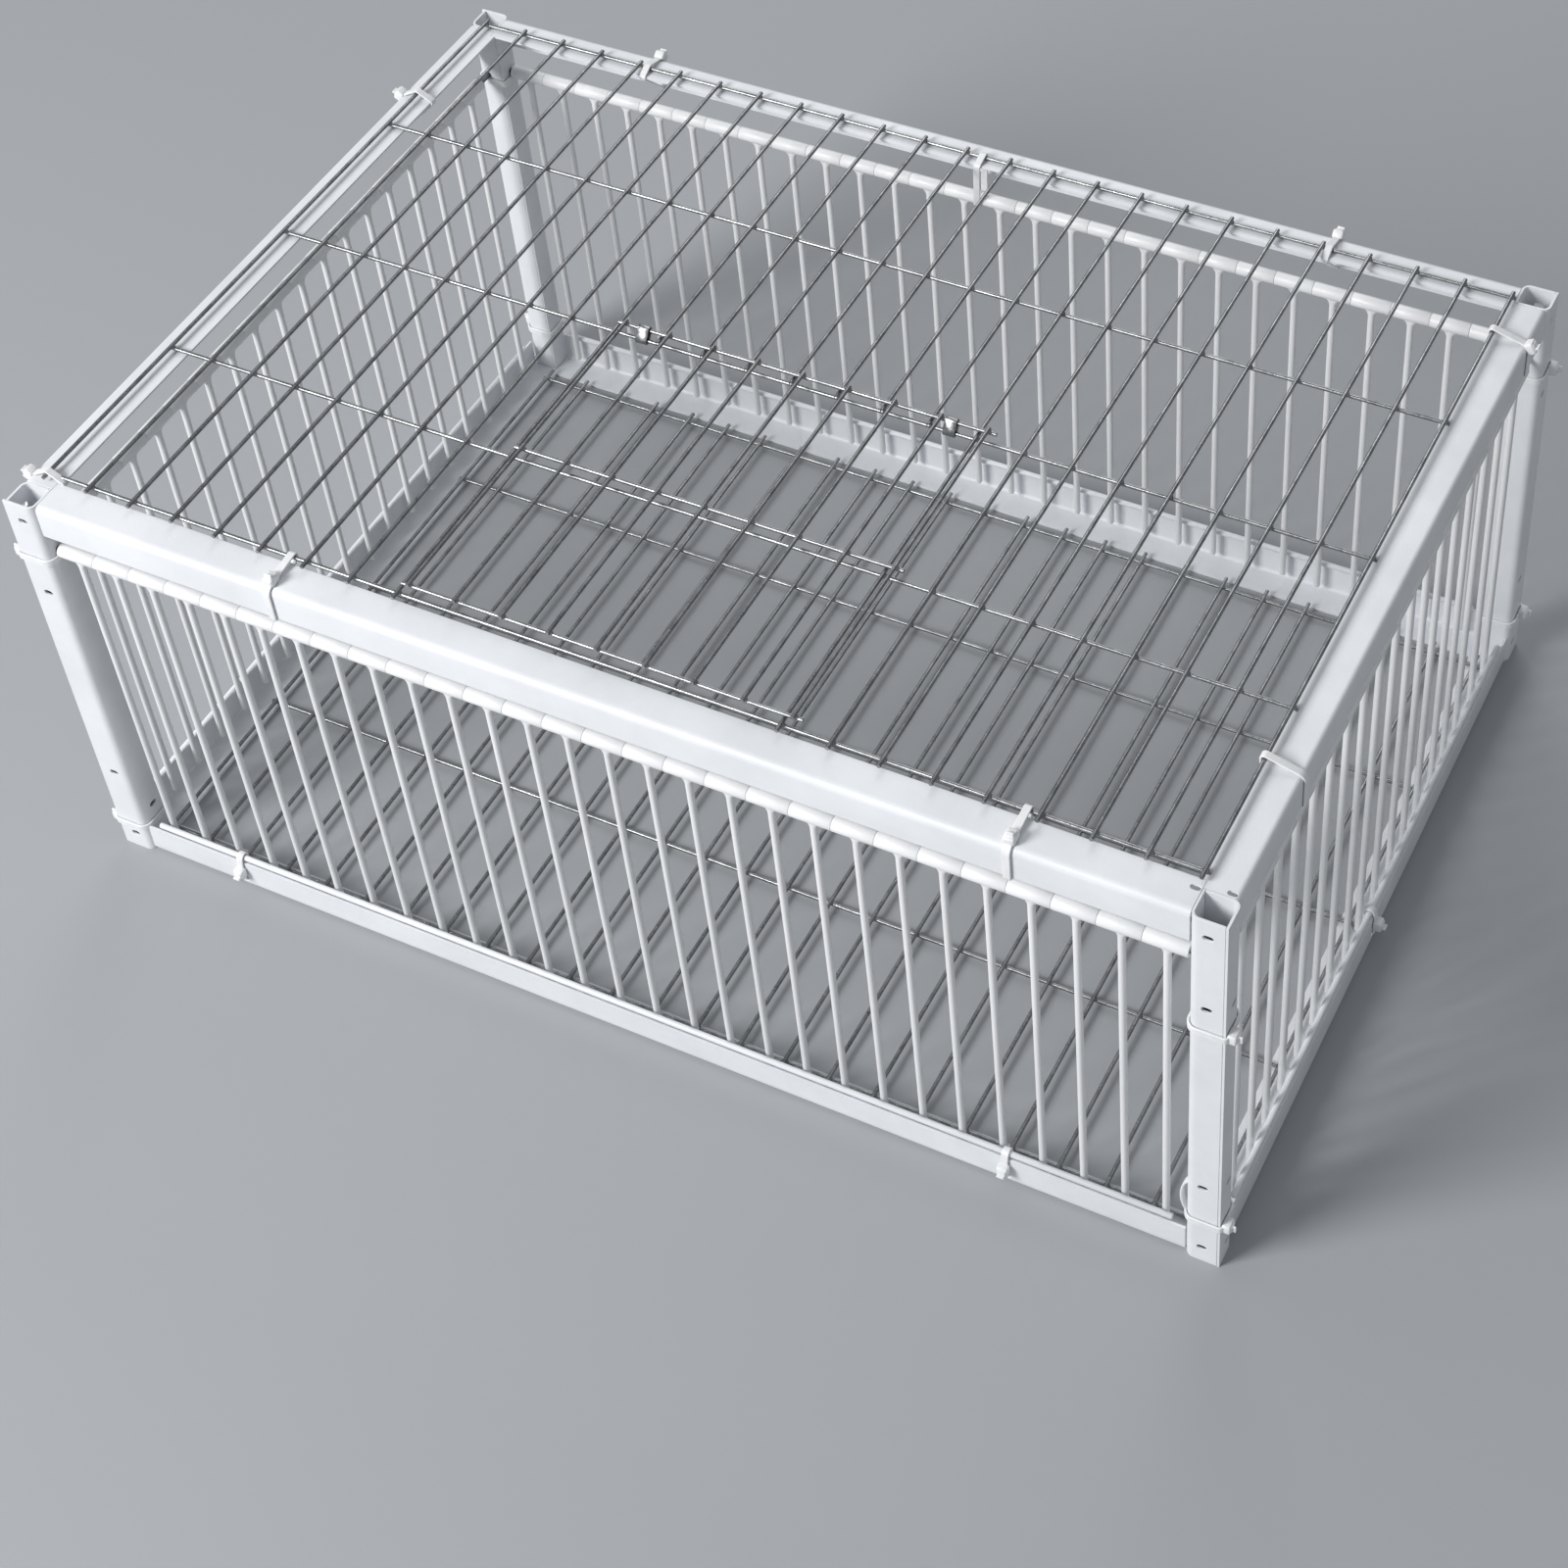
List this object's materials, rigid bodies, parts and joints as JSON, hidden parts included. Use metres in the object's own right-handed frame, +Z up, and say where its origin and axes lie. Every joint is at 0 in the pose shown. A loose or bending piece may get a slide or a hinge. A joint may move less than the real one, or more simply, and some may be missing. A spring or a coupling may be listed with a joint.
{
  "type": "wire pigeon trap with one-way bar curtains",
  "caption": "Low oblong pigeon trap: white angle frame, one-way curtains of hanging T-bars on all sides, wire roof with a hinged hatch, wire floor.",
  "frame": {"origin": "centre of the bounding box in plan, on the surface that the cage stands on", "axes": "+X along the long side towards its right end, +Y from the front to the back, +Z up"},
  "size_m": [0.6104, 0.4206, 0.252],
  "materials": {
    "frame_coat": "satin",
    "bar_plastic": "semi-gloss",
    "galvanised_wire": "satin",
    "nylon_tie": "matte"
  },
  "bodies": {
    "cage": {"post_front_left": "frame_coat", "post_front_right": "frame_coat", "post_back_right": "frame_coat", "post_back_left": "frame_coat", "top_rail_front": "frame_coat", "top_rail_back": "frame_coat", "top_rail_left": "frame_coat", "top_rail_right": "frame_coat", "bottom_rail_front": "frame_coat", "bottom_rail_back": "frame_coat", "bottom_rail_left": "frame_coat", "bottom_rail_right": "frame_coat", "pivot_rod_front": "galvanised_wire", "pivot_rod_back": "galvanised_wire", "pivot_rod_left": "galvanised_wire", "pivot_rod_right": "galvanised_wire", "stop_rod_front": "galvanised_wire", "stop_rod_back": "galvanised_wire", "stop_rod_left": "galvanised_wire", "stop_rod_right": "galvanised_wire", "roof_panel": "galvanised_wire", "floor_panel": "galvanised_wire", "hatch_clip_1": "galvanised_wire", "hatch_clip_2": "galvanised_wire", "post_tie_low_front_left": "nylon_tie", "post_tie_low_front_right": "nylon_tie", "post_tie_low_back_right": "nylon_tie", "post_tie_low_back_left": "nylon_tie", "post_tie_high_front_left": "nylon_tie", "post_tie_high_front_right": "nylon_tie", "post_tie_high_back_right": "nylon_tie", "post_tie_high_back_left": "nylon_tie", "roof_tie_front_1": "nylon_tie", "roof_tie_front_2": "nylon_tie", "roof_tie_back_1": "nylon_tie", "roof_tie_back_2": "nylon_tie", "stop_tie_front_1": "nylon_tie", "stop_tie_front_2": "nylon_tie", "pivot_hanger_back": "nylon_tie"},
    "hatch": {"roof_hatch": "galvanised_wire"},
    "bars_front_1": {"bars_front_1": "bar_plastic"},
    "bars_front_2": {"bars_front_2": "bar_plastic"},
    "bars_front_3": {"bars_front_3": "bar_plastic"},
    "bars_front_4": {"bars_front_4": "bar_plastic"},
    "bars_front_5": {"bars_front_5": "bar_plastic"},
    "bars_front_6": {"bars_front_6": "bar_plastic"},
    "bars_front_7": {"bars_front_7": "bar_plastic"},
    "bars_back_1": {"bars_back_1": "bar_plastic"},
    "bars_back_2": {"bars_back_2": "bar_plastic"},
    "bars_back_3": {"bars_back_3": "bar_plastic"},
    "bars_back_4": {"bars_back_4": "bar_plastic"},
    "bars_back_5": {"bars_back_5": "bar_plastic"},
    "bars_back_6": {"bars_back_6": "bar_plastic"},
    "bars_back_7": {"bars_back_7": "bar_plastic"},
    "bars_left_1": {"bars_left_1": "bar_plastic"},
    "bars_left_2": {"bars_left_2": "bar_plastic"},
    "bars_left_3": {"bars_left_3": "bar_plastic"},
    "bars_right_1": {"bars_right_1": "bar_plastic"},
    "bars_right_2": {"bars_right_2": "bar_plastic"},
    "bars_right_3": {"bars_right_3": "bar_plastic"}
  },
  "joints": [
    {"name": "bars_front_1_swing", "type": "hinge", "parent": "cage", "child": "bars_front_1", "pos_m": [0, -0.1978, 0.2126], "axis": [1, 0, 0], "range_deg": [0, 95]},
    {"name": "bars_front_2_swing", "type": "hinge", "parent": "cage", "child": "bars_front_2", "pos_m": [0, -0.1978, 0.2126], "axis": [1, 0, 0], "range_deg": [0, 95]},
    {"name": "bars_front_3_swing", "type": "hinge", "parent": "cage", "child": "bars_front_3", "pos_m": [0, -0.1978, 0.2126], "axis": [1, 0, 0], "range_deg": [0, 95]},
    {"name": "bars_front_4_swing", "type": "hinge", "parent": "cage", "child": "bars_front_4", "pos_m": [0, -0.1978, 0.2126], "axis": [1, 0, 0], "range_deg": [0, 95]},
    {"name": "bars_front_5_swing", "type": "hinge", "parent": "cage", "child": "bars_front_5", "pos_m": [0, -0.1978, 0.2126], "axis": [1, 0, 0], "range_deg": [0, 95]},
    {"name": "bars_front_6_swing", "type": "hinge", "parent": "cage", "child": "bars_front_6", "pos_m": [0, -0.1978, 0.2126], "axis": [1, 0, 0], "range_deg": [0, 95]},
    {"name": "bars_front_7_swing", "type": "hinge", "parent": "cage", "child": "bars_front_7", "pos_m": [0, -0.1978, 0.2126], "axis": [1, 0, 0], "range_deg": [0, 95]},
    {"name": "bars_back_1_swing", "type": "hinge", "parent": "cage", "child": "bars_back_1", "pos_m": [0, 0.1978, 0.2126], "axis": [-1, 0, 0], "range_deg": [0, 90]},
    {"name": "bars_back_2_swing", "type": "hinge", "parent": "cage", "child": "bars_back_2", "pos_m": [0, 0.1978, 0.2126], "axis": [-1, 0, 0], "range_deg": [0, 90]},
    {"name": "bars_back_3_swing", "type": "hinge", "parent": "cage", "child": "bars_back_3", "pos_m": [0, 0.1978, 0.2126], "axis": [-1, 0, 0], "range_deg": [0, 90]},
    {"name": "bars_back_4_swing", "type": "hinge", "parent": "cage", "child": "bars_back_4", "pos_m": [0, 0.1978, 0.2126], "axis": [-1, 0, 0], "range_deg": [0, 90]},
    {"name": "bars_back_5_swing", "type": "hinge", "parent": "cage", "child": "bars_back_5", "pos_m": [0, 0.1978, 0.2126], "axis": [-1, 0, 0], "range_deg": [0, 90]},
    {"name": "bars_back_6_swing", "type": "hinge", "parent": "cage", "child": "bars_back_6", "pos_m": [0, 0.1978, 0.2126], "axis": [-1, 0, 0], "range_deg": [0, 90]},
    {"name": "bars_back_7_swing", "type": "hinge", "parent": "cage", "child": "bars_back_7", "pos_m": [0, 0.1978, 0.2126], "axis": [-1, 0, 0], "range_deg": [0, 90]},
    {"name": "bars_left_1_swing", "type": "hinge", "parent": "cage", "child": "bars_left_1", "pos_m": [-0.2928, 0, 0.2126], "axis": [0, -1, 0], "range_deg": [0, 75]},
    {"name": "bars_left_2_swing", "type": "hinge", "parent": "cage", "child": "bars_left_2", "pos_m": [-0.2928, 0, 0.2126], "axis": [0, -1, 0], "range_deg": [0, 75]},
    {"name": "bars_left_3_swing", "type": "hinge", "parent": "cage", "child": "bars_left_3", "pos_m": [-0.2928, 0, 0.2126], "axis": [0, -1, 0], "range_deg": [0, 75]},
    {"name": "bars_right_1_swing", "type": "hinge", "parent": "cage", "child": "bars_right_1", "pos_m": [0.2928, 0, 0.2126], "axis": [0, 1, 0], "range_deg": [0, 75]},
    {"name": "bars_right_2_swing", "type": "hinge", "parent": "cage", "child": "bars_right_2", "pos_m": [0.2928, 0, 0.2126], "axis": [0, 1, 0], "range_deg": [0, 75]},
    {"name": "bars_right_3_swing", "type": "hinge", "parent": "cage", "child": "bars_right_3", "pos_m": [0.2928, 0, 0.2126], "axis": [0, 1, 0], "range_deg": [0, 75]},
    {"name": "hatch_hinge", "type": "hinge", "parent": "cage", "child": "hatch", "pos_m": [-0.0011, 0.0071, 0.2493], "axis": [-1, 0, 0], "range_deg": [0, 165]}
  ]
}
